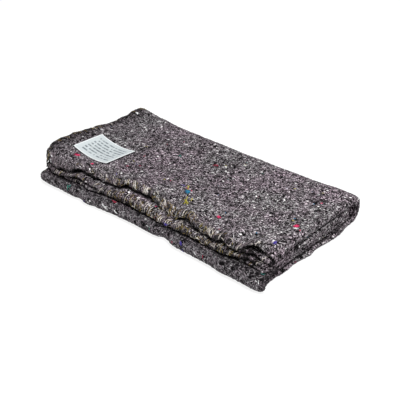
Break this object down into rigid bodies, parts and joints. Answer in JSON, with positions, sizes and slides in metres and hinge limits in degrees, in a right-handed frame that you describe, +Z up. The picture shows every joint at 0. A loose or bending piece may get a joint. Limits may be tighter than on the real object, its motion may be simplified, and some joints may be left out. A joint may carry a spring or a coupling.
{
  "type": "folded pet blanket",
  "caption": "Thick mottled grey felt pet blanket, folded flat into a soft layered stack with wavy hemmed edges and a plain sewn-on label.",
  "frame": {"origin": "a point on the flat underside near the middle of the folded stack", "axes": "+X along the folded length towards the folded end, +Y towards the spine, +Z up from the floor"},
  "size_m": [0.5165, 0.2815, 0.0564],
  "materials": {
    "felt": "mottled matted felt",
    "label_cloth": "smooth woven tape"
  },
  "bodies": {
    "root": {"blanket": "felt", "label": "label_cloth"}
  },
  "joints": []
}
